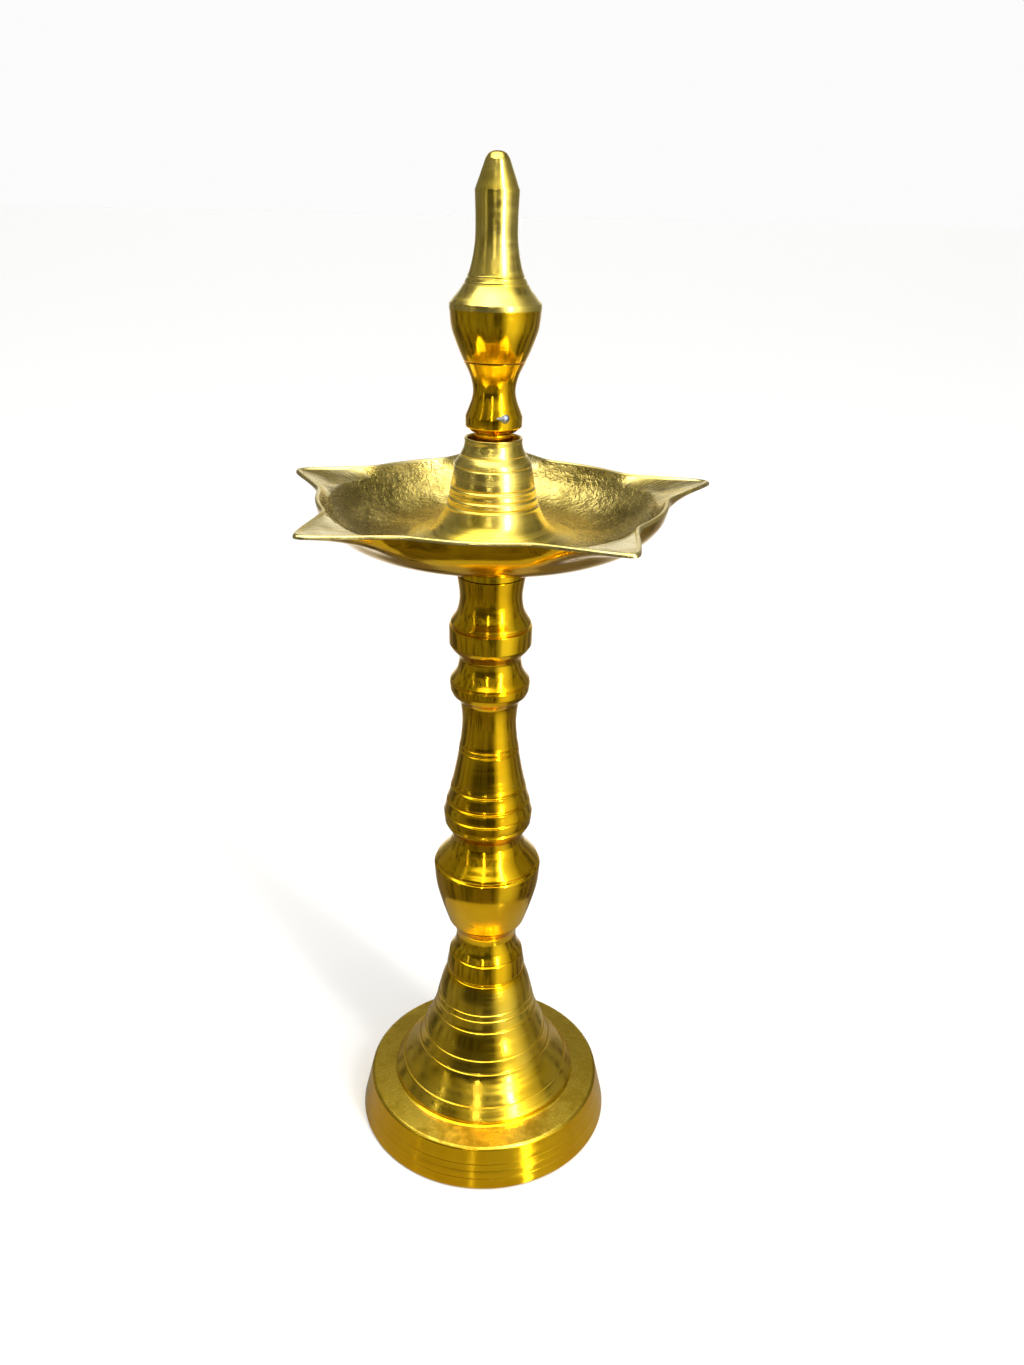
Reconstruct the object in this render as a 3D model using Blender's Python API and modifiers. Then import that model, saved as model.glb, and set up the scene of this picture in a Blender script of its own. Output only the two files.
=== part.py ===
"""Brass standing oil lamp (samai): a foot, a turned stem, a five-lipped oil dish and a two-part finial.

The castings screw together on round studs, all on one upright axis. The origin is the centre of the
foot on the plane that it stands on, and +Z runs up the axis. Section sizes are in millimetres and are
turned to metres where a mesh is made. Heights are measured from the standing plane.
"""

import math

import bmesh
import bpy

MM = 0.001

# Heights of the seams between the castings, and of the tip.
STEM_SEAT = 77.3
DISH_SEAT = 195.0
FINIAL_SEAT = 230.0
CAP_SEAT = 254.4
TOP = 305.0

FOOT_RADIUS = 42.2
GAP = 0.3                # between two pieces that touch
STUD_FIT = 0.3           # round a stud in its hole

# Studs: radius, how far each reaches below its seat, and how far above.
STEM_STUD = (5.0, 16.0, 15.0)
DISH_STUD = (4.5, 14.0, 11.0)
FINIAL_STUD = (4.0, 11.0, 12.0)
CAP_STUD = (3.0, 6.5, 8.0)
STUD_CHAMFER = 0.8
CONE_END = 1.2           # depth of the drill's cone at the end of a blind hole

# Oil dish.
RIM_RADIUS = 49.0
LIP_RADIUS = 66.0        # the lips' section is drawn to this radius
# Each lip's bearing from +X in degrees, and its tip's radius. Filed by hand, they differ a little.
LIPS = [(16.0, 66.5), (88.5, 66.0), (157.5, 63.5), (225.0, 67.0), (300.0, 67.5)]
LIP_HALF_CHORD = 14.0    # half the width of a lip where it leaves the rim
LIP_TIP_ROUND = 0.035
LIP_ROOT_ROUND = 1.5

CURVE_SPAN = 2           # points for each stretch of a curve

BRASS_POLISHED = ((0.80, 0.60, 0.16, 1.0), 0.18)
BRASS_BRUSHED = ((0.72, 0.58, 0.24, 1.0), 0.34)
BRASS_ROD = ((0.70, 0.55, 0.22, 1.0), 0.30)
SOLDER_GREY = ((0.55, 0.56, 0.58, 1.0), 0.35)


def clear_scene():
    for old in list(bpy.data.objects):
        bpy.data.objects.remove(old, do_unlink=True)


def new_collection(name):
    collection = bpy.data.collections.new(name)
    bpy.context.scene.collection.children.link(collection)
    return collection


def metal(name, finish):
    colour, roughness = finish
    material = bpy.data.materials.new(name)
    material.use_nodes = True
    shader = material.node_tree.nodes["Principled BSDF"]
    shader.inputs["Base Color"].default_value = colour
    shader.inputs["Metallic"].default_value = 1.0
    shader.inputs["Roughness"].default_value = roughness
    return material


def curve(*points, span=CURVE_SPAN):
    """A smooth line through the points (radius, height), by Catmull-Rom."""
    ends = [points[0], *points, points[-1]]
    line = []
    for before, start, stop, after in zip(ends, ends[1:], ends[2:], ends[3:]):
        for step in range(span):
            t = step / span
            line.append(tuple(
                0.5 * (2 * b + (c - a) * t + (2 * a - 5 * b + 4 * c - d) * t ** 2
                       + (3 * b - a - 3 * c + d) * t ** 3)
                for a, b, c, d in zip(before, start, stop, after)
            ))
    return line + [points[-1]]


def hole_down(radius, floor, mouth):
    """A blind hole in a top face: its outline from the axis up to the mouth."""
    return [(0, floor - CONE_END), (radius, floor), (radius, mouth)]


def hole_up(radius, mouth, roof):
    """A blind hole in an underside: its outline from the mouth up to the axis."""
    return [(radius, mouth), (radius, roof), (0, roof + CONE_END)]


def add_object(name, mesh, seat, material, collection):
    mesh.materials.append(material)
    piece = bpy.data.objects.new(name, mesh)
    piece.location.z = seat * MM
    collection.objects.link(piece)
    return piece


def shade_round(mesh, sharp_above=35):
    mesh.shade_smooth()
    mesh.set_sharp_from_angle(angle=math.radians(sharp_above))


def turned(name, outline, seat, steps, material, collection):
    """A solid of revolution. Its outline runs from the axis at the top, down outside, to the axis."""
    mesh = bpy.data.meshes.new(name)
    points = [(radius * MM, 0.0, (height - seat) * MM) for radius, height in outline]
    edges = [(i, i + 1) for i in range(len(points) - 1)]
    mesh.from_pydata(points, edges, [])
    piece = add_object(name, mesh, seat, material, collection)
    screw = piece.modifiers.new("turn", "SCREW")
    screw.axis = "Z"
    screw.steps = steps
    screw.render_steps = steps
    screw.use_merge_vertices = True
    screw.merge_threshold = 0.00001
    return piece


def base_outline():
    """Foot, bell and ring in one casting, hollow below round a boss that is faced level with the rim."""
    radius, below, _ = STEM_STUD
    top = STEM_SEAT - GAP / 2
    socket = hole_down(radius + STUD_FIT, STEM_SEAT - below - GAP, top)
    neck = curve((12.2, top), (10.3, 74.2), (9.8, 70.8), (10.4, 66.8), (12.0, 63.4))
    ring = [(12.9, 57.1)]
    bell = curve((12.9, 56.2), (14.6, 52.2), (15.9, 46.8), (17.3, 41.0), (20.0, 34.4),
                 (23.2, 26.6), (28.1, 20.2), (30.4, 17.2), span=1)
    plinth = [(30.4, 15.6), (31.0, 15.0), (38.4, 14.6), (39.2, 13.9), (FOOT_RADIUS, 0.6),
              (FOOT_RADIUS - 0.6, 0)]
    hollow = [(38.6, 0), (35.8, 11.4), (27.6, 12.6), (24.0, 17.0), (18.6, 27.0), (14.4, 38.0),
              (12.6, 42.0), (9.4, 42.0), (9.4, 0), (0, 0)]
    return socket + neck + ring + bell + plinth + hollow


def stem_outline():
    """Vase, long baluster and two beads in one casting."""
    lower_radius, _, lower_reach = STEM_STUD
    upper_radius, upper_depth, _ = DISH_STUD
    top = DISH_SEAT - GAP / 2
    foot = STEM_SEAT + GAP / 2
    socket = hole_down(upper_radius + STUD_FIT, DISH_SEAT - upper_depth - GAP, top)
    throat = curve((10.0, top), (9.3, 190.0), (9.3, 187.0), (10.0, 183.9), (11.7, 180.4))
    upper_bead = [(12.2, 179.2), (12.25, 174.2)]
    waist = curve((11.5, 172.6), (9.6, 170.3), (9.3, 168.4), (10.0, 165.4), (11.9, 162.4))
    lower_bead = [(11.8, 159.4)]
    baluster = curve((11.2, 157.8), (9.1, 155.4), (8.3, 150.0), (8.5, 144.6), (9.6, 136.6),
                     (11.5, 127.0), (13.4, 119.6), (13.8, 116.4), (13.2, 113.2), (11.2, 110.2), span=1)
    shoulder = curve((11.1, 108.0), (12.3, 105.2), (14.6, 102.3), (16.5, 100.4))
    vase = curve((17.0, 98.4), (16.4, 91.6), (14.6, 84.4), (12.4, foot))
    hole = hole_up(lower_radius + STUD_FIT, foot, STEM_SEAT + lower_reach + GAP)
    return socket + throat + upper_bead + waist + lower_bead + baluster + shoulder + vase + hole


def finial_base_outline():
    """Spigot, collar and waist under the cap. The spigot stands in the dish column's mouth."""
    lower_radius, _, lower_reach = FINIAL_STUD
    upper_radius, upper_depth, _ = CAP_STUD
    top = CAP_SEAT - GAP / 2
    foot = FINIAL_SEAT + GAP / 2
    socket = hole_down(upper_radius + STUD_FIT, CAP_SEAT - upper_depth - GAP, top)
    waist = curve((8.35, top), (6.6, 250.6), (5.8, 247.2), (6.1, 244.4), (7.3, 241.2))
    collar = [(7.8, 239.9), (7.75, 237.2), (6.0, 235.8), (5.2, 235.6), (5.2, foot)]
    hole = hole_up(lower_radius + STUD_FIT, foot, FINIAL_SEAT + lower_reach + GAP)
    return socket + waist + collar + hole


def finial_cap_outline():
    """Bulb with a sharp shoulder, a slim neck and a blunt cone."""
    radius, _, reach = CAP_STUD
    foot = CAP_SEAT + GAP / 2
    tip = [(0, TOP), (1.9, 304.5), (3.1, 303.2), (5.7, 296.0)]
    neck = curve((5.5, 290.0), (5.6, 284.0), (6.6, 278.2), (8.0, 274.6), (9.7, 271.9), (12.2, 269.0))
    bulb = curve((12.2, 267.6), (11.6, 262.6), (9.9, 257.8), (8.45, foot))
    hole = hole_up(radius + STUD_FIT, foot, CAP_SEAT + reach + GAP)
    return tip + neck + bulb + hole


def dish_sections():
    """Two outlines of the dish with the same points: between two lips, and along the middle of a lip."""
    upper_radius, upper_depth, _ = FINIAL_STUD
    lower_radius, _, lower_reach = DISH_STUD
    foot = DISH_SEAT + GAP / 2
    seat = FINIAL_SEAT - GAP / 2
    socket = hole_down(upper_radius + STUD_FIT, FINIAL_SEAT - upper_depth - GAP, seat)
    collar = [(7.2, seat), (7.3, 234.2), (8.0, 234.2), (7.9, 232.6), (9.0, 230.0), (10.6, 227.2)]
    flare = curve((11.7, 221.4), (13.0, 215.6), (15.6, 210.4), (18.6, 207.8), (25.0, 206.2), span=1)
    column = socket + collar + flare
    boss = curve((26.0, 203.2), (14.0, 200.6), (10.4, 198.6), (9.9, foot))
    boss += hole_up(lower_radius + STUD_FIT, foot, DISH_SEAT + lower_reach + GAP)
    wall = [(33.0, 206.2), (39.5, 208.3), (44.2, 212.2), (46.6, 215.6), (47.6, 217.8), (48.4, 218.5),
            (RIM_RADIUS, 217.8), (48.1, 214.2), (45.2, 210.4), (39.5, 206.6)]
    lip = [(33.0, 206.2), (39.5, 208.3), (44.2, 212.2), (48.0, 215.9), (63.8, 218.7), (65.2, 219.1),
           (LIP_RADIUS, 218.1), (57.0, 216.0), (48.6, 213.4), (39.5, 206.6)]
    return column + wall + boss, column + lip + boss


def lip_share(angle):
    """How far the lip reaches at an angle from its middle: 1 at its tip, 0 along the rim."""
    root_angle = math.asin(LIP_HALF_CHORD / RIM_RADIUS)
    slope = (1 / RIM_RADIUS - math.cos(root_angle) / LIP_RADIUS) / math.sin(root_angle)
    away = math.hypot(math.sin(angle), LIP_TIP_ROUND) - LIP_TIP_ROUND
    edge = 1 / (math.cos(angle) / LIP_RADIUS + slope * away)
    over = edge - RIM_RADIUS
    reach = 0.5 * (over + math.hypot(over, LIP_ROOT_ROUND))
    return reach / (LIP_RADIUS - RIM_RADIUS)


def dish_bearings(steps=6, crowding=1.5):
    """Bearings round the dish, crowded at each lip's tip: (bearing, angle from the lip, tip radius)."""
    turn = 2 * math.pi
    bearings = []
    for i, (bearing, tip_radius) in enumerate(LIPS):
        middle = math.radians(bearing)
        gap_before = (middle - math.radians(LIPS[i - 1][0])) % turn
        gap_after = (math.radians(LIPS[(i + 1) % len(LIPS)][0]) - middle) % turn
        for step in range(-steps, steps):
            half_gap = (gap_before if step < 0 else gap_after) / 2
            away = half_gap * (abs(step) / steps) ** crowding
            bearings.append((middle + math.copysign(away, step), away, tip_radius))
    return bearings


def add_dish(material, collection):
    """The dish, lofted between the plain section and the lip's section round the axis."""
    plain, lip = dish_sections()
    form = bmesh.new()
    rows = []
    for (r_plain, z_plain), (r_lip, z_lip) in zip(plain, lip):
        row = []
        for bearing, away, tip_radius in dish_bearings() if r_plain > 0 else [(0.0, 0.0, LIP_RADIUS)]:
            share = lip_share(away)
            stretch = (tip_radius - RIM_RADIUS) / (LIP_RADIUS - RIM_RADIUS)
            radius = (r_plain + (r_lip - r_plain) * share * stretch) * MM
            height = (z_plain + (z_lip - z_plain) * share - DISH_SEAT) * MM
            row.append(form.verts.new((radius * math.cos(bearing), radius * math.sin(bearing), height)))
        rows.append(row)
    for upper, lower in zip(rows, rows[1:]):
        count = max(len(upper), len(lower))
        for i in range(count):
            j = (i + 1) % count
            corners = [upper[i % len(upper)], lower[i % len(lower)],
                       lower[j % len(lower)], upper[j % len(upper)]]
            form.faces.new(list(dict.fromkeys(corners)))
    bmesh.ops.recalc_face_normals(form, faces=form.faces)
    mesh = bpy.data.meshes.new("dish")
    form.to_mesh(mesh)
    form.free()
    shade_round(mesh)
    return add_object("dish", mesh, DISH_SEAT, material, collection)


def add_stud(name, size, seat, material, collection):
    """A round stud with chamfered ends, from one casting's hole into the next one's."""
    radius, below, above = size
    end_radius = radius - STUD_CHAMFER
    top, bottom = seat + above, seat - below
    outline = [(0, top), (end_radius, top), (radius, top - STUD_CHAMFER),
               (radius, bottom + STUD_CHAMFER), (end_radius, bottom), (0, bottom)]
    return turned(name, outline, seat, 16, material, collection)


def add_solder_dab(material, collection):
    """A flattened drop of solder, with a short tail, on the upper edge of the finial's collar."""
    bearing = math.radians(-70)
    form = bmesh.new()
    bmesh.ops.create_uvsphere(form, u_segments=10, v_segments=6, radius=1.0)
    for vertex in form.verts:
        tail = 1.0 + 0.7 * max(0.0, -vertex.co.y) ** 2
        vertex.co.x *= 0.5 * MM
        vertex.co.y *= 1.45 * MM * tail
        vertex.co.z *= 1.25 * MM / tail
    mesh = bpy.data.meshes.new("solder_dab")
    form.to_mesh(mesh)
    form.free()
    shade_round(mesh)
    piece = add_object("solder_dab", mesh, 240.4, material, collection)
    piece.location.x = 8.5 * MM * math.cos(bearing)
    piece.location.y = 8.5 * MM * math.sin(bearing)
    piece.rotation_euler = (0, -math.radians(20), bearing)
    return piece


def build():
    clear_scene()
    lamp = new_collection("samai_lamp")
    polished = metal("brass_polished", BRASS_POLISHED)
    brushed = metal("brass_brushed", BRASS_BRUSHED)
    rod = metal("brass_rod", BRASS_ROD)
    solder = metal("solder", SOLDER_GREY)
    turned("base", base_outline(), 0.0, 40, polished, lamp)
    turned("stem", stem_outline(), STEM_SEAT, 24, polished, lamp)
    add_dish(brushed, lamp)
    turned("finial_base", finial_base_outline(), FINIAL_SEAT, 24, polished, lamp)
    turned("finial_cap", finial_cap_outline(), CAP_SEAT, 24, polished, lamp)
    add_solder_dab(solder, lamp)
    add_stud("stem_stud", STEM_STUD, STEM_SEAT, rod, lamp)
    add_stud("dish_stud", DISH_STUD, DISH_SEAT, rod, lamp)
    add_stud("finial_stud", FINIAL_STUD, FINIAL_SEAT, rod, lamp)
    add_stud("cap_stud", CAP_STUD, CAP_SEAT, rod, lamp)


build()
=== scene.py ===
"""Studio scene of a brass standing oil lamp (samai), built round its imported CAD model.

Each CAD node is replaced by a finer mesh of the same piece: castings turned from smooth
outlines with scribed lines and eased edges, a dish with five filed lips, a drop of solder and
threaded studs. Outlines are lists of (radius, height) in millimetres, heights above the plane
that the lamp stands on.
"""

import math

import bmesh
import bpy
from mathutils import Matrix, Vector, noise


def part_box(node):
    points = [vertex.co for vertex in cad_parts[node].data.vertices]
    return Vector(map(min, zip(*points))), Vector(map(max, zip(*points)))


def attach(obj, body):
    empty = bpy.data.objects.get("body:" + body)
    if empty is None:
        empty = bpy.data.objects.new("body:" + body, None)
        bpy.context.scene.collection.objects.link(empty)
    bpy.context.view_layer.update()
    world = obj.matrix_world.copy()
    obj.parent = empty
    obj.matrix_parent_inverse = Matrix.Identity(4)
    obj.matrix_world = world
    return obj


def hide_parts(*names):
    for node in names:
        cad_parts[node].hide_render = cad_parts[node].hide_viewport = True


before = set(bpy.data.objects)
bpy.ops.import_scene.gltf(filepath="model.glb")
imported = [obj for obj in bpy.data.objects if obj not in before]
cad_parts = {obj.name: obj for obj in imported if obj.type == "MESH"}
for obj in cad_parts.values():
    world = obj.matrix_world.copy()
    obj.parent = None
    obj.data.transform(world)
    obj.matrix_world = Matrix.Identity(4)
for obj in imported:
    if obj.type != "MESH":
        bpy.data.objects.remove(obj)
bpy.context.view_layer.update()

MM = 0.001
TURN = 2 * math.pi
ON_AXIS = 1e-6      # a radius or a length under this counts as none

# Gap at a seam and past a stud's end, and gap round a stud in its hole.
GAP = 0.3
STUD_FIT = 0.3
DRILL_POINT = 1.2

# Heights of the seams, and the foot's radius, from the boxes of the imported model.
STEM_SEAT = (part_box("base")[1].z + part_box("stem")[0].z) / 2 / MM
DISH_SEAT = (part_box("stem")[1].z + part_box("dish")[0].z) / 2 / MM
CAP_SEAT = (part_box("finial_base")[1].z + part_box("finial_cap")[0].z) / 2 / MM
FINIAL_SEAT = 230.0
FOOT_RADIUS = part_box("base")[1].x / MM

# Each stud: its radius, and how far it reaches below and above its seam.
STEM_STUD = (5.0, 16.0, 15.0)
DISH_STUD = (4.5, 14.0, 11.0)
FINIAL_STUD = (4.0, 11.0, 12.0)
CAP_STUD = (3.0, 6.5, 8.0)

LATHE_STEPS = 192
CURVE_SPAN = 8

# A scribed groove's section: how far along it, and how deep, as shares of its width and depth.
# Its two edges stand a little proud.
GROOVE = ((-1, -0.25), (-0.45, 0.6), (0, 1), (0.45, 0.6), (1, -0.25))
# After the grooves are cut, a point is kept only if it lies this much lower than the one before
# it, or this far in or out.
LEAST_DROP = 1e-4
LEAST_STEP = 0.6


# ---------------------------------------------------------------- outlines

def curve(*points, span=CURVE_SPAN):
    """A smooth line through the points, by Catmull-Rom."""
    ends = [points[0], *points, points[-1]]
    line = []
    for before, start, stop, after in zip(ends, ends[1:], ends[2:], ends[3:]):
        for step in range(span):
            t = step / span
            line.append(tuple(
                0.5 * (2 * b + (c - a) * t + (2 * a - 5 * b + 4 * c - d) * t ** 2
                       + (3 * b - a - 3 * c + d) * t ** 3)
                for a, b, c, d in zip(before, start, stop, after)
            ))
    return line + [points[-1]]


def straight(start, stop, span=CURVE_SPAN):
    """Evenly spaced points on a straight line."""
    return [tuple(a + (b - a) * step / span for a, b in zip(start, stop))
            for step in range(span + 1)]


def eased(outline, ease=0.25, sharp=math.radians(14), bend=4):
    """The outline with each sharp corner turned into a small arc."""
    line = [outline[0]]
    for before, here, after in zip(outline, outline[1:], outline[2:]):
        back = Vector(before) - Vector(here)
        ahead = Vector(after) - Vector(here)
        shortest = min(back.length, ahead.length)
        if shortest < ON_AXIS or math.pi - back.angle(ahead) < sharp:
            line.append(here)
            continue
        reach = min(ease, 0.45 * shortest)
        start = Vector(here) + back.normalized() * reach
        stop = Vector(here) + ahead.normalized() * reach
        for step in range(bend + 1):
            t = step / bend
            point = start * (1 - t) ** 2 + Vector(here) * 2 * t * (1 - t) + stop * t ** 2
            line.append(tuple(point))
    return line + [outline[-1]]


def scribed(outline, heights, depth=0.16, width=0.30):
    """The outline, which runs downwards, with a fine groove cut at each height."""
    line = [outline[0]]
    for (r0, z0), (r1, z1) in zip(outline, outline[1:]):
        for height in sorted(heights, reverse=True):
            if z0 > height >= z1:
                along = Vector((r1 - r0, z1 - z0)).normalized()
                inward = Vector((along.y, -along.x))
                t = (z0 - height) / (z0 - z1)
                middle = Vector((r0 + (r1 - r0) * t, height))
                for shift, sink in GROOVE:
                    line.append(tuple(middle + along * width * shift + inward * depth * sink))
        line.append((r1, z1))
    clean = [line[0]]
    for point in line[1:]:
        goes_down = point[1] < clean[-1][1] - LEAST_DROP
        if goes_down or abs(point[0] - clean[-1][0]) > LEAST_STEP:
            clean.append(point)
    return clean


def hole_below(stud, seat, mouth):
    """A stud's blind hole under its seam: its outline from the axis up to the mouth."""
    radius, reach, _ = stud
    floor = seat - reach - GAP
    return [(0, floor - DRILL_POINT), (radius + STUD_FIT, floor), (radius + STUD_FIT, mouth)]


def hole_above(stud, seat, mouth):
    """A stud's blind hole over its seam: its outline from the mouth up to the axis."""
    radius, _, reach = stud
    roof = seat + reach + GAP
    return [(radius + STUD_FIT, mouth), (radius + STUD_FIT, roof), (0, roof + DRILL_POINT)]


# ---------------------------------------------------------------- meshes

def link(name, mesh, materials):
    for material in materials:
        mesh.materials.append(material)
    piece = bpy.data.objects.new(name, mesh)
    bpy.context.scene.collection.objects.link(piece)
    return piece


def finish_piece(piece, node, body):
    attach(piece, body)
    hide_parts(node)
    return piece


def ring(radius, height, steps=LATHE_STEPS):
    """Points in metres round the axis, or one point where the radius is none."""
    if radius < ON_AXIS:
        return [(0.0, 0.0, height * MM)]
    turns = [TURN * step / steps for step in range(steps)]
    return [(radius * MM * math.cos(a), radius * MM * math.sin(a), height * MM) for a in turns]


def mesh_from_rows(name, rows, zone=None, sharp=40):
    """A closed mesh from rings of points, top to bottom; a ring of one point is a pole.

    zone gives a face's material from its row and its place in the row.
    """
    points = []
    starts = []
    for row in rows:
        starts.append(len(points))
        points.extend(row)
    faces = []
    zones = []
    for level, (upper, lower) in enumerate(zip(rows, rows[1:])):
        count = max(len(upper), len(lower))
        a, b = starts[level], starts[level + 1]
        for i in range(count):
            j = (i + 1) % count
            corners = [a + i % len(upper), b + i % len(lower),
                       b + j % len(lower), a + j % len(upper)]
            faces.append(list(dict.fromkeys(corners)))
            zones.append(zone(level, i) if zone else 0)
    mesh = bpy.data.meshes.new(name)
    mesh.from_pydata(points, [], faces)
    mesh.polygons.foreach_set("material_index", zones)
    mesh.update()
    form = bmesh.new()
    form.from_mesh(mesh)
    bmesh.ops.recalc_face_normals(form, faces=form.faces)
    form.to_mesh(mesh)
    form.free()
    mesh.shade_smooth()
    mesh.set_sharp_from_angle(angle=math.radians(sharp))
    return mesh


def lathe(name, outline, materials, zone_at=None):
    """A turned piece. zone_at gives a face's material from its (radius, height)."""
    rows = [ring(radius, height) for radius, height in outline]
    zone = (lambda level, i: zone_at(*outline[level])) if zone_at else None
    return link(name, mesh_from_rows(name, rows, zone), materials)


def threaded_stud(name, node, material, pitch=1.5, depth=0.55, chamfer=1.0, around=36, fineness=8):
    """A rod with a screw thread along it, in the CAD stud's box."""
    low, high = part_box(node)
    radius = (high.x - low.x) / 2 / MM
    bottom, top = low.z / MM, high.z / MM
    count = int((top - bottom) / pitch * fineness)
    rows = [[(0.0, 0.0, top * MM)]]
    for level in range(count + 1):
        height = top + (bottom - top) * level / count
        from_end = min(height - bottom, top - height)
        crest = radius - max(0.0, chamfer - from_end)
        row = []
        for step in range(around):
            turn = step / around
            phase = (height / pitch - turn) % 1.0
            groove = depth * abs(2 * phase - 1)
            reach = min(crest, radius - groove) * MM
            angle = TURN * turn
            row.append((reach * math.cos(angle), reach * math.sin(angle), height * MM))
        rows.append(row)
    rows.append([(0.0, 0.0, bottom * MM)])
    return link(name, mesh_from_rows(name, rows), [material])


# ---------------------------------------------------------------- node graphs

class Graph:
    """A node tree, with a short way to add and join its nodes."""

    def __init__(self, tree):
        self.tree = tree

    def put(self, socket, value):
        if isinstance(value, bpy.types.NodeSocket):
            self.tree.links.new(value, socket)
        else:
            socket.default_value = value

    def add(self, kind, *values, settings=None, **named):
        """A node, with values put in its sockets by their order and by their names."""
        node = self.tree.nodes.new(kind)
        for key, value in (settings or {}).items():
            setattr(node, key, value)
        for socket, value in zip(node.inputs, values):
            self.put(socket, value)
        for key, value in named.items():
            self.put(node.inputs[key], value)
        return node

    def math(self, operation, *values):
        settings = {"operation": operation}
        return self.add("ShaderNodeMath", *values, settings=settings).outputs[0]

    def noise(self, where, scale, detail=3.0, rough=0.55):
        node = self.add("ShaderNodeTexNoise",
                        Vector=where, Scale=scale, Detail=detail, Roughness=rough)
        return node.outputs["Fac"]

    def ramp(self, value, low, high, start=0.0, stop=1.0):
        """Smoothly from start to stop as the value goes from low to high."""
        node = self.add("ShaderNodeMapRange", value, low, high, start, stop,
                        settings={"interpolation_type": "SMOOTHSTEP"})
        return node.outputs[0]

    def mix(self, share, first, second):
        node = self.add("ShaderNodeMix", settings={"data_type": "RGBA"})
        colours = {s.name: s for s in node.inputs if s.type == "RGBA"}
        self.put(node.inputs["Factor"], share)
        self.put(colours["A"], first)
        self.put(colours["B"], second)
        return [s for s in node.outputs if s.type == "RGBA"][0]


# ---------------------------------------------------------------- materials

class Finish(Graph):
    """A metal's node graph. Colours are linear RGBA, and lengths are in metres."""

    COAT = 0.06
    COAT_ROUGHNESS = 0.06

    def __init__(self, name):
        self.material = bpy.data.materials.new(name)
        self.material.use_nodes = True
        super().__init__(self.material.node_tree)
        self.shader = self.tree.nodes["Principled BSDF"]
        self.shader.inputs["Metallic"].default_value = 1.0
        self.shader.inputs["Coat Weight"].default_value = self.COAT
        self.shader.inputs["Coat Roughness"].default_value = self.COAT_ROUGHNESS

    def place(self):
        return self.add("ShaderNodeTexCoord").outputs["Object"]

    def polar(self, angle_share):
        """Radius, height and angle times angle_share, about the lamp's axis."""
        x, y, z = self.add("ShaderNodeSeparateXYZ", self.place()).outputs
        squares = self.math("ADD", self.math("MULTIPLY", x, x), self.math("MULTIPLY", y, y))
        angle = self.math("MULTIPLY", self.math("ARCTAN2", y, x), angle_share)
        return self.math("SQRT", squares), z, angle

    def turning(self, angle_share=0.0009):
        """(radius, height, a little of the angle): lines drawn with it run round the axis."""
        return self.add("ShaderNodeCombineXYZ", *self.polar(angle_share)).outputs[0]

    def spokes(self, angle_share=0.055, radius_share=0.05):
        """(angle, 0, a little of the radius): lines drawn with it run out from the axis."""
        radius, _, angle = self.polar(angle_share)
        along = self.math("MULTIPLY", radius, radius_share)
        return self.add("ShaderNodeCombineXYZ", angle, 0.0, along).outputs[0]

    def bump(self, height, strength, distance, under=None):
        node = self.add("ShaderNodeBump", Height=height, Strength=strength, Distance=distance)
        if under is not None:
            self.put(node.inputs["Normal"], under)
        return node.outputs["Normal"]

    def use(self, colour, roughness, normal):
        self.put(self.shader.inputs["Base Color"], colour)
        self.put(self.shader.inputs["Roughness"], roughness)
        self.put(self.shader.inputs["Normal"], normal)
        return self.material


TARNISH = (0.42, 0.33, 0.12, 1)


def turned_brass(name, bright, deep, rough=(0.09, 0.22), lines=0.30, wobble=0.25, grain=0.3,
                 worn=0.35):
    """Polished brass off the lathe: fine rings round the axis, slow colour change, faint wear.

    lines and wobble are how strongly the fine and the broad rings tilt the surface, grain is
    how far they stretch its reflections, and worn is how much the tarnished spots show.
    """
    f = Finish(name)
    f.shader.inputs["Anisotropic"].default_value = grain
    radial = f.add("ShaderNodeTangent", settings={"direction_type": "RADIAL"})
    f.put(f.shader.inputs["Tangent"], radial.outputs[0])
    rings = f.turning()
    cloud = f.noise(f.place(), scale=70.0, detail=4.0)
    fine = f.noise(rings, scale=2600.0, detail=2.0)
    broad = f.noise(rings, scale=520.0, detail=2.0)
    wear = f.noise(f.place(), scale=420.0, detail=5.0, rough=0.65)
    colour = f.mix(f.ramp(cloud, 0.35, 0.68), deep, bright)
    spots = f.ramp(wear, 0.63, 0.74)
    colour = f.mix(f.math("MULTIPLY", spots, worn), colour, TARNISH)
    roughness = f.math("ADD", f.ramp(broad, 0.3, 0.7, *rough),
                       f.math("MULTIPLY", spots, worn / 3))
    soft = f.bump(broad, wobble, 0.00010)
    normal = f.bump(fine, lines, 0.00002, soft)
    return f.use(colour, roughness, normal)


def handled_brass(name, bright, dull):
    """The foot's flat top: mottled by fingers and oil, with rubbed bright patches."""
    f = Finish(name)
    blotch = f.noise(f.place(), scale=70.0, detail=7.0, rough=0.72)
    grain = f.noise(f.place(), scale=1500.0, detail=4.0, rough=0.7)
    fine = f.noise(f.turning(), scale=2200.0, detail=2.0)
    colour = f.mix(f.ramp(blotch, 0.42, 0.60), dull, bright)
    roughness = f.ramp(blotch, 0.35, 0.65, 0.40, 0.20)
    normal = f.bump(grain, 0.6, 0.00008, f.bump(fine, 0.4, 0.00006))
    return f.use(colour, roughness, normal)


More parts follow.
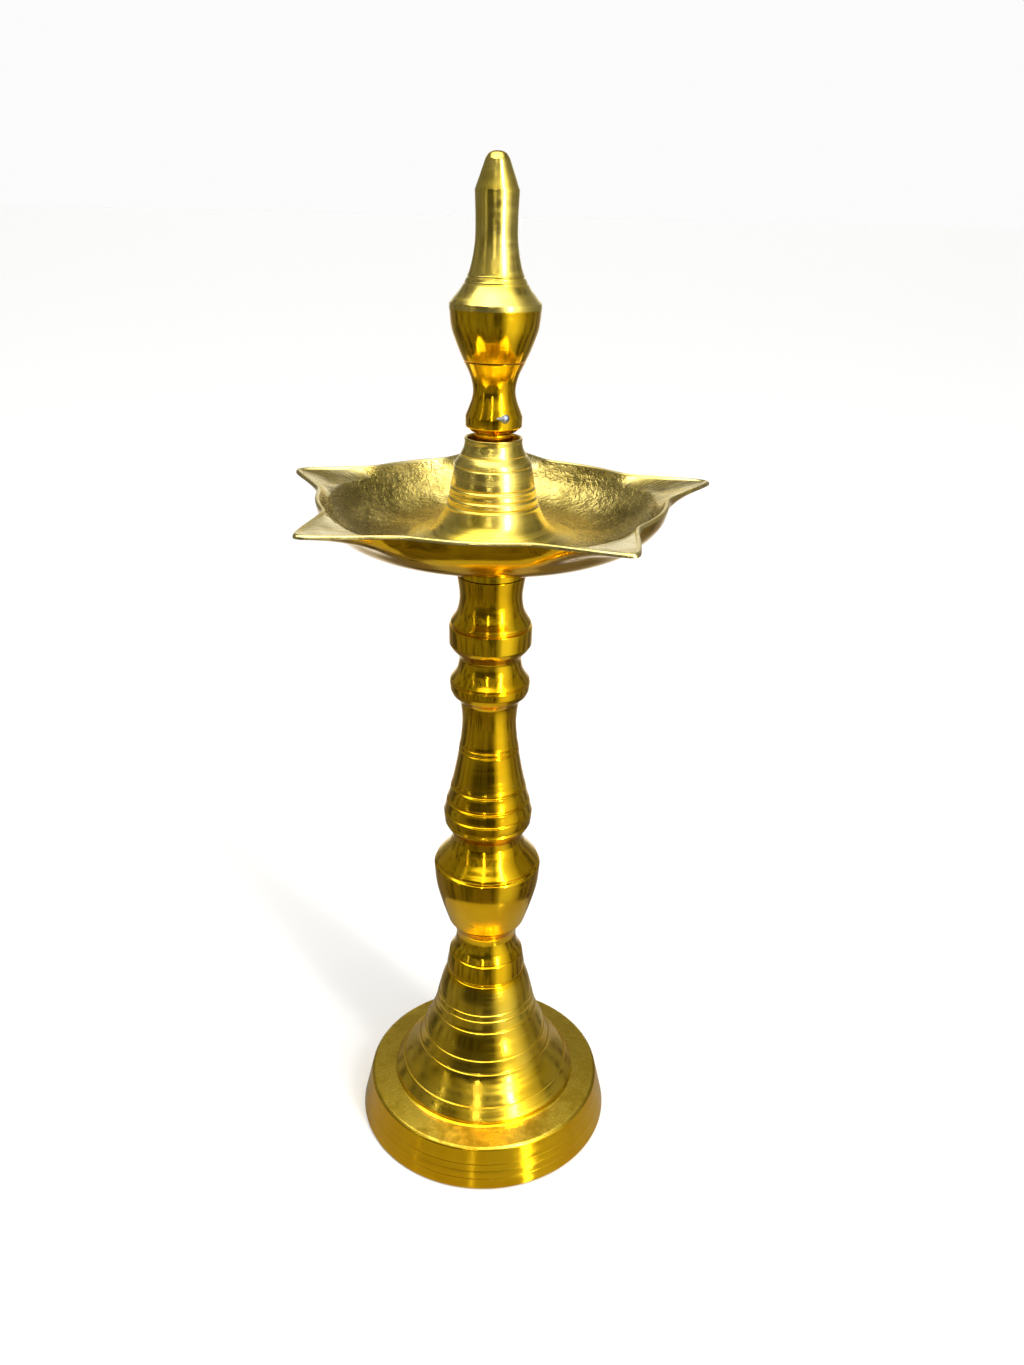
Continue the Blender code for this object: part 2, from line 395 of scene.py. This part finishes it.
def cast_brass(name, bright, dull):
    """The dish's inside: a scraped casting, pitted and scratched both ways, with oil stain."""
    f = Finish(name)
    place = f.place()
    stain = f.noise(place, scale=60.0, detail=5.0, rough=0.62)
    scrape = f.noise(f.turning(angle_share=0.02), scale=900.0, detail=3.0, rough=0.6)
    pits = f.noise(place, scale=1100.0, detail=3.0, rough=0.6)
    lumps = f.noise(place, scale=330.0, detail=3.0, rough=0.5)
    cells = f.add("ShaderNodeTexVoronoi", settings={"feature": "DISTANCE_TO_EDGE"},
                  Vector=place, Scale=420.0)
    score = f.ramp(cells.outputs["Distance"], 0.0, 0.10)
    colour = f.mix(f.ramp(stain, 0.38, 0.62), dull, bright)
    roughness = f.ramp(scrape, 0.3, 0.7, 0.14, 0.34)
    normal = f.bump(lumps, 0.5, 0.0005)
    normal = f.bump(scrape, 0.8, 0.00022, normal)
    normal = f.bump(pits, 0.9, 0.00020, normal)
    normal = f.bump(score, 0.4, 0.00010, normal)
    return f.use(colour, roughness, normal)


def filed_brass(name, bright, dull):
    """The lips: filed along their length, so the scratches run outwards."""
    f = Finish(name)
    scratch = f.noise(f.spokes(), scale=1500.0, detail=3.0, rough=0.6)
    cloud = f.noise(f.place(), scale=130.0)
    colour = f.mix(f.ramp(cloud, 0.35, 0.65), dull, bright)
    roughness = f.ramp(scratch, 0.3, 0.7, 0.16, 0.36)
    return f.use(colour, roughness, f.bump(scratch, 0.7, 0.00008))


def dull_metal(name, light, dark, rough):
    """Grey soft solder, or unpolished rod; rough is its least and greatest roughness."""
    f = Finish(name)
    cloud = f.noise(f.place(), scale=900.0, detail=4.0, rough=0.6)
    colour = f.mix(f.ramp(cloud, 0.35, 0.65), dark, light)
    roughness = f.ramp(cloud, 0.3, 0.7, *rough)
    return f.use(colour, roughness, f.bump(cloud, 0.4, 0.00005))


polished = turned_brass("turned_brass", (0.93, 0.585, 0.010, 1), (0.85, 0.48, 0.004, 1))
bell_brass = turned_brass("bell_brass", (0.93, 0.64, 0.05, 1), (0.86, 0.54, 0.018, 1),
                          rough=(0.12, 0.24), lines=0.5, wobble=0.15, grain=0.5)
edge = turned_brass("edge_brass", (0.90, 0.76, 0.32, 1), (0.78, 0.60, 0.15, 1),
                    rough=(0.22, 0.36))
satin = turned_brass("satin_brass", (0.84, 0.65, 0.14, 1), (0.74, 0.54, 0.06, 1),
                     rough=(0.20, 0.30), lines=0.6, wobble=0.05, grain=0.6, worn=0.0)
spun = turned_brass("spun_brass", (0.90, 0.72, 0.20, 1), (0.80, 0.60, 0.08, 1),
                    rough=(0.15, 0.26), lines=0.9, wobble=0.03, grain=0.7, worn=0.0)
handled = handled_brass("handled_brass", (0.90, 0.62, 0.06, 1), (0.47, 0.31, 0.018, 1))
scraped = cast_brass("scraped_brass", (0.84, 0.66, 0.19, 1), (0.42, 0.32, 0.07, 1))
filed = filed_brass("filed_brass", (0.90, 0.76, 0.34, 1), (0.70, 0.54, 0.14, 1))
rod = dull_metal("brass_rod", (0.62, 0.46, 0.16, 1), (0.36, 0.25, 0.08, 1),
                 rough=(0.30, 0.48))
solder = dull_metal("soft_solder", (0.34, 0.37, 0.44, 1), (0.13, 0.15, 0.19, 1),
                    rough=(0.37, 0.55))


# ---------------------------------------------------------------- the castings

def make_base():
    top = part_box("base")[1].z / MM
    neck = curve((12.2, top), (10.3, 74.2), (9.8, 70.8), (10.3, 67.4), (11.6, 64.9))
    collar = [(11.5, 64.5), (12.05, 64.2), (12.95, 58.2), (12.25, 57.8), (12.25, 57.3)]
    bell = curve((12.95, 57.0), (14.6, 52.2), (15.9, 46.8), (17.3, 41.0), (20.0, 34.4),
                 (23.2, 26.6), (28.1, 20.2), (30.4, 17.2))
    bell = scribed(bell, (48.0, 45.9, 41.9, 33.3, 29.0), depth=0.2)
    bell = scribed(bell, (20.7,), depth=0.25, width=0.4)
    flat = [(30.4, 16.2), (29.9, 15.5), (30.9, 15.0), (38.4, 14.6), (39.2, 13.9)]
    skirt = straight((39.35, 13.2), (FOOT_RADIUS, 0.6))
    skirt = scribed(skirt, (8.9, 6.6, 4.0), depth=0.03, width=0.2)
    hollow = [(FOOT_RADIUS - 0.6, 0), (38.6, 0), (35.8, 11.4), (27.6, 12.6), (24.0, 17.0),
              (18.6, 27.0), (14.4, 38.0), (12.6, 42.0)]
    boss = [(9.4, 42.0), (9.4, 0), (0, 0)]
    outline = eased(hole_below(STEM_STUD, STEM_SEAT, top) + neck + collar + bell + flat + skirt
                    + hollow + boss)

    materials = [polished, handled, bell_brass]

    def zone(radius, height):
        if 30.6 < radius < 38.9 and 14.0 < height < 15.4:
            return materials.index(handled)
        on_bell = 16.5 < height < 56 and radius > 12.6
        return materials.index(bell_brass if on_bell else polished)

    piece = lathe("base_casting", outline, materials, zone)
    return finish_piece(piece, "base", "base")


def make_stem():
    top, foot = DISH_SEAT - GAP / 2, STEM_SEAT + GAP / 2
    throat = curve((10.0, top), (9.3, 190.0), (9.3, 187.0), (10.0, 183.9), (11.8, 180.9))
    throat += [(11.9, 180.5), (11.3, 180.2), (11.3, 179.7)]
    upper_bead = [(12.25, 179.4), (12.3, 177.0), (12.25, 174.0)]
    waist = curve((11.5, 172.6), (9.6, 170.3), (9.3, 168.4), (10.0, 165.4), (11.9, 162.5))
    lower_bead = [(11.6, 162.2), (11.6, 161.8), (12.0, 161.6), (11.85, 159.3)]
    baluster = curve((11.2, 157.8), (9.1, 155.4), (8.3, 150.0), (8.5, 144.6), (9.6, 136.6),
                     (11.5, 127.0), (13.4, 119.6), (13.8, 116.4), (13.2, 113.2), (11.2, 110.2))
    baluster = scribed(baluster, (141.0, 139.4), depth=0.28, width=0.4)
    baluster = scribed(baluster, (127.0, 122.1, 118.2, 114.5), depth=0.42, width=0.6)
    shoulder = curve((11.1, 108.0), (12.3, 105.2), (14.6, 102.3), (16.2, 100.4))
    shoulder += [(16.3, 100.1), (15.9, 99.8), (15.9, 99.3), (16.8, 98.9)]
    vase = curve((17.0, 98.4), (16.4, 91.6), (14.6, 84.4), (12.4, foot))
    outline = (hole_below(DISH_STUD, DISH_SEAT, top) + throat + upper_bead + waist + lower_bead
               + baluster + shoulder + vase + hole_above(STEM_STUD, STEM_SEAT, foot))
    piece = lathe("stem_casting", eased(outline, ease=0.15), [polished])
    return finish_piece(piece, "stem", "stem")


def make_finial_base():
    top, foot = CAP_SEAT - GAP / 2, FINIAL_SEAT + GAP / 2
    waist = curve((8.35, top), (6.6, 250.6), (5.8, 247.2), (6.1, 244.4), (7.3, 241.2))
    collar = [(7.8, 239.9), (7.75, 237.2), (6.0, 235.8), (5.2, 235.6), (5.2, foot)]
    outline = (hole_below(CAP_STUD, CAP_SEAT, top) + waist + collar
               + hole_above(FINIAL_STUD, FINIAL_SEAT, foot))
    piece = lathe("finial_collar", eased(outline), [polished])
    return finish_piece(piece, "finial_base", "finial_base")


def make_finial_cap():
    foot = CAP_SEAT + GAP / 2
    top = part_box("finial_cap")[1].z / MM
    tip = curve((0, top), (1.2, 304.85), (2.3, 304.3), (3.1, 303.2))
    tip += straight((3.25, 302.8), (5.75, 296.0))
    neck = curve((5.5, 290.0), (5.6, 284.0), (6.6, 278.2), (8.0, 274.6), (9.7, 271.9),
                 (12.2, 269.0))
    neck = scribed(neck, (275.4, 273.9), depth=0.18)
    bulb = curve((12.2, 267.6), (11.6, 262.6), (9.9, 257.8), (8.45, foot))

    materials = [polished, spun]

    def zone(radius, height):
        over_bulb = height > 268.5 and radius > 1.0
        return materials.index(spun if over_bulb else polished)

    outline = eased(tip + neck + bulb + hole_above(CAP_STUD, CAP_SEAT, foot), ease=0.12)
    piece = lathe("finial_cap_casting", outline, materials, zone)
    return finish_piece(piece, "finial_cap", "finial_cap")


# ---------------------------------------------------------------- the dish

RIM_RADIUS = 49.0
LIP_RADIUS = 66.0
# Each lip: its bearing in degrees and its tip's radius, from the photograph.
LIPS = [(16.0, 66.4), (88.5, 66.0), (157.5, 63.3), (225.0, 67.0), (300.0, 67.2)]
LIP_HALF_CHORD = 14.0
LIP_TIP_ROUND = 0.035
LIP_ROOT_ROUND = 1.5
LIP_FILED_FROM = 0.12       # share of a lip's outline from which its top is filed

COLUMN_SCRAPED_ROWS = 3     # rows at the column's foot that are scraped like the bowl
UNEVEN = 0.22               # mm, fading out over some rows towards the column and the rim
WAVES_SUNK = 0.4            # share of it by which the uneven surface lies lower
FADE_ROWS = (6, 9)


def lip_share(angle):
    """How much of a lip's outline there is at an angle from its middle: 1 at its tip, 0 outside."""
    root_angle = math.asin(LIP_HALF_CHORD / RIM_RADIUS)
    slope = (1 / RIM_RADIUS - math.cos(root_angle) / LIP_RADIUS) / math.sin(root_angle)
    away = math.hypot(math.sin(angle), LIP_TIP_ROUND) - LIP_TIP_ROUND
    outer = 1 / (math.cos(angle) / LIP_RADIUS + slope * away)
    over = outer - RIM_RADIUS
    reach = 0.5 * (over + math.hypot(over, LIP_ROOT_ROUND))
    return reach / (LIP_RADIUS - RIM_RADIUS)


def dish_bearings(steps=24, crowding=1.35):
    """Bearings round the dish, close together at each lip's tip.

    Each is (bearing, angle from the nearest lip, that lip's tip radius).
    """
    bearings = []
    for i, (bearing, tip_radius) in enumerate(LIPS):
        middle = math.radians(bearing)
        gap_before = (middle - math.radians(LIPS[i - 1][0])) % TURN
        gap_after = (math.radians(LIPS[(i + 1) % len(LIPS)][0]) - middle) % TURN
        for step in range(-steps, steps):
            half_gap = (gap_before if step < 0 else gap_after) / 2
            away = half_gap * (abs(step) / steps) ** crowding
            bearings.append((middle + math.copysign(away, step), away, tip_radius))
    return bearings


def dish_sections():
    """The dish's outline between two lips and along a lip's middle, point for point.

    The third result is how many points the column, the bowl, the lip's top and the rim have.
    """
    foot, seat = DISH_SEAT + GAP / 2, FINIAL_SEAT - GAP / 2
    collar = [(7.2, seat), (7.25, 233.9), (7.6, 234.2), (8.0, 234.1), (7.95, 233.2)]
    collar += curve((7.9, 232.8), (8.3, 231.2), (9.0, 229.8))[1:]
    shoulder = curve((9.35, 229.2), (10.2, 228.0), (10.75, 226.9))
    shoulder = [(8.9, 229.5)] + shoulder + [(10.5, 226.6)]
    flare = curve((10.85, 226.2), (11.7, 221.4), (12.9, 215.9), (15.0, 211.4), (18.4, 208.1),
                  (25.0, 206.4))
    flare = scribed(flare, (221.0, 218.3, 216.1), depth=0.32, width=0.55)
    column = eased(hole_below(FINIAL_STUD, FINIAL_SEAT, seat) + collar + shoulder + flare,
                   ease=0.2)
    boss = curve((26.0, 203.2), (14.0, 200.6), (10.4, 198.6), (9.9, foot))[1:]
    boss += hole_above(DISH_STUD, DISH_SEAT, foot)

    plain = {
        "bowl": curve((25.0, 206.4), (33.0, 206.2), (39.5, 208.3), (44.2, 212.2),
                      (46.6, 215.6))[1:],
        "top": straight((46.7, 215.75), (47.6, 217.8), 10),
        "rim": curve((47.6, 217.8), (47.95, 218.35), (48.4, 218.5), (48.8, 218.3),
                     (49.0, 217.8), span=3)[1:],
        "under": curve((49.0, 217.8), (48.1, 214.2), (45.2, 210.4), (39.5, 206.6),
                       (26.0, 203.2))[1:],
    }
    lip = {
        "bowl": curve((25.0, 206.4), (33.0, 206.2), (39.5, 208.3), (44.2, 212.2),
                      (48.0, 215.9))[1:],
        "top": straight((48.3, 216.0), (63.8, 218.7), 10),
        "rim": curve((63.8, 218.7), (64.6, 219.05), (65.3, 219.1), (65.9, 218.7),
                     (66.0, 218.1), span=3)[1:],
        "under": curve((66.0, 218.1), (57.0, 216.0), (48.6, 213.4), (39.5, 206.6),
                       (26.0, 203.2))[1:],
    }
    sections = [column + part["bowl"] + part["top"] + part["rim"] + part["under"] + boss
                for part in (plain, lip)]
    return *sections, (len(column), len(plain["bowl"]), len(plain["top"]), len(plain["rim"]))


def make_dish():
    plain, lip, (column, bowl, top, rim) = dish_sections()
    bowl_end = column + bowl
    top_end = bowl_end + top
    bearings = dish_bearings()
    on_axis = [(0.0, 0.0, LIP_RADIUS)]
    fade_in, fade_out = FADE_ROWS
    rows = []
    for level, ((r_plain, z_plain), (r_lip, z_lip)) in enumerate(zip(plain, lip)):
        fade = min(1.0, (level - column) / fade_in, (top_end - level) / fade_out)
        uneven = UNEVEN * max(0.0, fade)
        row = []
        for bearing, away, tip_radius in bearings if r_plain > ON_AXIS else on_axis:
            share = lip_share(away)
            stretch = (tip_radius - RIM_RADIUS) / (LIP_RADIUS - RIM_RADIUS)
            radius = r_plain + (r_lip - r_plain) * share * stretch
            height = z_plain + (z_lip - z_plain) * share
            at = Vector((radius * math.cos(bearing), radius * math.sin(bearing), height))
            if uneven:
                waves = noise.noise(at * 0.16) + 0.5 * noise.noise(at * 0.45)
                at.z += uneven * (waves - WAVES_SUNK)
            row.append(tuple(at * MM))
        rows.append(row)

    materials = [polished, scraped, filed, satin, edge]

    def zone(level, i):
        if level < column - COLUMN_SCRAPED_ROWS:
            return materials.index(satin)
        if level < bowl_end:
            return materials.index(scraped)
        if level < top_end - 1:
            on_lip = lip_share(bearings[i][1]) > LIP_FILED_FROM
            return materials.index(filed if on_lip else scraped)
        return materials.index(edge if level < top_end + rim else polished)

    mesh = mesh_from_rows("dish_casting", rows, zone, sharp=50)
    piece = link("dish_casting", mesh, materials)
    return finish_piece(piece, "dish", "dish")


# ---------------------------------------------------------------- small pieces

def make_solder_dab():
    """A drop of solder with a tail, pressed on the collar's upper edge. Sizes are in mm."""
    shift = Vector((0.5, 0, 0))
    half_width, half_height, thickness = 1.35, 1.2, 0.65
    stretch, taper, lift = 1.1, 0.85, 0.25      # of the tail
    flat_back = -0.9

    low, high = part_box("solder_dab")
    middle = (low + high) / 2 + shift * MM
    out = Vector((middle.x, middle.y, 0)).normalized()
    side = Vector((-out.y, out.x, 0))
    form = bmesh.new()
    bmesh.ops.create_icosphere(form, subdivisions=5, radius=1.0)
    for vertex in form.verts:
        co = vertex.co
        tail = max(0.0, -co.x) ** 2
        lump = 1 + 0.10 * noise.noise(co * 1.7) + 0.05 * noise.noise(co * 4.0)
        across = co.x * (half_width + stretch * tail) * lump
        up = co.z * (half_height - taper * tail) * lump + lift * tail
        away = max(co.y, flat_back) * thickness * lump
        vertex.co = middle + (side * across + Vector((0, 0, 1)) * up + out * away) * MM
    mesh = bpy.data.meshes.new("solder_drop")
    form.to_mesh(mesh)
    form.free()
    mesh.shade_smooth()
    piece = link("solder_drop", mesh, [solder])
    return finish_piece(piece, "solder_dab", "finial_base")


def make_studs():
    for node, body in (("stem_stud", "stem_screw"), ("dish_stud", "dish_screw"),
                       ("finial_stud", "finial_screw"), ("cap_stud", "cap_screw")):
        finish_piece(threaded_stud(node + "_thread", node, rod), node, body)


# ---------------------------------------------------------------- studio

LAMP_MIDDLE = 0.17      # metres above the floor; the lights point at it

# Each light: bearing and elevation in degrees, distance and size in metres, power in watts and
# colour. Bearing 0 is the camera's side, and it turns to the right.
LIGHTS = {
    "window": (38, 22, 1.1, (0.11, 1.1), 13.0, (1, 0.99, 0.95)),
    "doorway": (-9, 24, 1.2, (0.018, 0.85), 1.0, (1, 0.98, 0.92)),
    "strip": (-58, 16, 1.2, (0.02, 0.9), 0.25, (1, 0.98, 0.92)),
}
OVERHEAD_POWER = 1.75
OVERHEAD_WIDTH = math.radians(70)
OVERHEAD_TILT = (math.radians(8), math.radians(-6), 0)


def add_lamp(name, data):
    lamp = bpy.data.objects.new(name, data)
    bpy.context.scene.collection.objects.link(lamp)
    return lamp


def make_lights():
    target = Vector((0, 0, LAMP_MIDDLE))
    for name, (bearing, elevation, distance, size, power, colour) in LIGHTS.items():
        a, e = math.radians(bearing), math.radians(elevation)
        spot = Vector((math.sin(a) * math.cos(e), -math.cos(a) * math.cos(e), math.sin(e)))
        spot *= distance
        spot.z += LAMP_MIDDLE
        data = bpy.data.lights.new(name, "AREA")
        data.shape = "RECTANGLE"
        data.size, data.size_y = size
        data.energy = power
        data.color = colour
        lamp = add_lamp(name, data)
        lamp.location = spot
        lamp.rotation_euler = (target - spot).to_track_quat("-Z", "Y").to_euler()
    sun = bpy.data.lights.new("overhead", "SUN")
    sun.energy = OVERHEAD_POWER
    sun.angle = OVERHEAD_WIDTH
    add_lamp("overhead", sun).rotation_euler = OVERHEAD_TILT


class Room(Graph):
    """The world's node graph: how bright the room is, by bearing and elevation in degrees."""

    def __init__(self):
        world = bpy.data.worlds.new("studio")
        world.use_nodes = True
        bpy.context.scene.world = world
        super().__init__(world.node_tree)
        toward = self.add("ShaderNodeTexCoord").outputs["Generated"]
        x, y, z = self.add("ShaderNodeSeparateXYZ", toward).outputs
        to_camera = self.math("MULTIPLY", y, -1.0)
        self.bearing = self.math("DEGREES", self.math("ARCTAN2", x, to_camera))
        self.elevation = self.math("DEGREES", self.math("ARCSINE", z))

    def step(self, value, low, high):
        """0 below low, 1 above high; the other way about when low is above high."""
        return self.ramp(value, min(low, high), max(low, high), float(low > high),
                         float(low < high))

    def band(self, value, low, rise, fall, high):
        """1 between rise and fall, fading to 0 at low and high."""
        return self.math("MULTIPLY", self.step(value, low, rise), self.step(value, high, fall))

    def area(self, across, upward):
        """1 inside a band of bearings and a band of elevations."""
        return self.math("MULTIPLY", self.band(self.bearing, *across),
                         self.band(self.elevation, *upward))

    def clutter(self, across=0.045, upward=0.014, most=0.8):
        """Dark upright shapes standing about the room: 0 where there is none."""
        place = self.add("ShaderNodeCombineXYZ", self.math("MULTIPLY", self.bearing, across),
                         self.math("MULTIPLY", self.elevation, upward), 0.0)
        shapes = self.noise(place.outputs[0], scale=2.2, detail=4.0, rough=0.5)
        return self.math("MULTIPLY", self.step(shapes, 0.47, 0.60), most)


def grey(level, warmth=0.0):
    return (level, level * (1 - 0.25 * warmth), level * (1 - 0.7 * warmth), 1)


def make_world():
    """A dim warm room with a bright ceiling, a window to the right and a pale wall behind."""
    room = Room()
    bearing, up = room.bearing, room.elevation
    colour = room.mix(room.step(up, -45, -15), grey(0.17, 0.6), grey(0.24, 0.15))
    front = room.area((-75, -45, 8, 24), (-16, -8, 8, 14))
    colour = room.mix(front, colour, grey(0.065, 0.2))
    shelf = room.area((-35, -22, 12, 20), (12, 20, 44, 60))
    colour = room.mix(shelf, colour, grey(0.34, 0.1))
    colour = room.mix(room.clutter(), colour, grey(0.02, 0.4))
    halo = room.math("MULTIPLY", room.band(bearing, 18, 37, 50, 92), room.step(up, -75, -20))
    colour = room.mix(halo, colour, grey(0.95))
    colour = room.mix(room.step(up, 47, 60), colour, grey(0.8))
    ceiling = room.math("MULTIPLY", room.step(up, 43, 56), room.band(bearing, -130, -80, 60, 110))
    colour = room.mix(ceiling, colour, grey(1.45))
    behind = room.step(room.math("ABSOLUTE", bearing), 145, 170)
    wall = room.math("MULTIPLY", behind, room.band(up, -45, -20, 12, 26))
    colour = room.mix(wall, colour, grey(1.1))
    seen = room.tree.nodes.new("ShaderNodeLightPath").outputs["Is Camera Ray"]
    colour = room.mix(seen, colour, grey(0.97))
    room.put(room.tree.nodes["Background"].inputs["Color"], colour)


def paint(name, colour, roughness):
    material = bpy.data.materials.new(name)
    material.use_nodes = True
    shader = material.node_tree.nodes["Principled BSDF"]
    shader.inputs["Base Color"].default_value = colour
    shader.inputs["Roughness"].default_value = roughness
    return material


def make_floor():
    """A wide pale floor left out of reflections, and a small dim disc that only they show."""
    floor_size, near_radius = 60.0, 0.095
    floor_height, near_height = -0.0002, -0.0001
    bpy.ops.mesh.primitive_plane_add(size=floor_size, location=(0, 0, floor_height))
    floor = bpy.context.object
    floor.name = "floor"
    floor.data.materials.append(paint("pale_floor", (0.86, 0.86, 0.85, 1), 0.7))
    floor.visible_glossy = False
    bpy.ops.mesh.primitive_circle_add(vertices=96, radius=near_radius, fill_type="NGON",
                                      location=(0, 0, near_height))
    near = bpy.context.object
    near.name = "near_floor"
    near.data.materials.append(paint("near_floor", (0.27, 0.25, 0.20, 1), 0.12))
    near.visible_camera = False
    near.visible_diffuse = False
    near.visible_shadow = False


def make_camera():
    """Close to the lamp, just under its tip, looking down; worked out from its outline."""
    place = Vector((0, -0.3032, 0.2927))
    down, right, lean = math.radians(23.49), math.radians(1.256), math.radians(1.368)
    sensor = 36.0
    focal_share = 1100 / 1365       # focal length over the image's height
    ahead = Vector((math.sin(right), math.cos(right), 0))
    across = Vector((math.cos(right), -math.sin(right), 0))
    look = ahead * math.cos(down) - Vector((0, 0, math.sin(down)))
    up = ahead * math.sin(down) + Vector((0, 0, math.cos(down)))
    x_axis = across * math.cos(lean) + up * math.sin(lean)
    y_axis = up * math.cos(lean) - across * math.sin(lean)
    data = bpy.data.cameras.new("camera")
    data.sensor_width = sensor
    data.lens = sensor * focal_share
    data.clip_start = 0.01
    camera = bpy.data.objects.new("camera", data)
    turned = Matrix((x_axis, y_axis, -look)).transposed().to_4x4()
    camera.matrix_world = Matrix.Translation(place) @ turned
    bpy.context.scene.collection.objects.link(camera)
    bpy.context.scene.camera = camera


make_camera()
make_floor()
make_world()
make_lights()
make_base()
make_stem()
make_dish()
make_finial_base()
make_finial_cap()
make_solder_dab()
make_studs()
bpy.context.scene.view_settings.view_transform = "Standard"
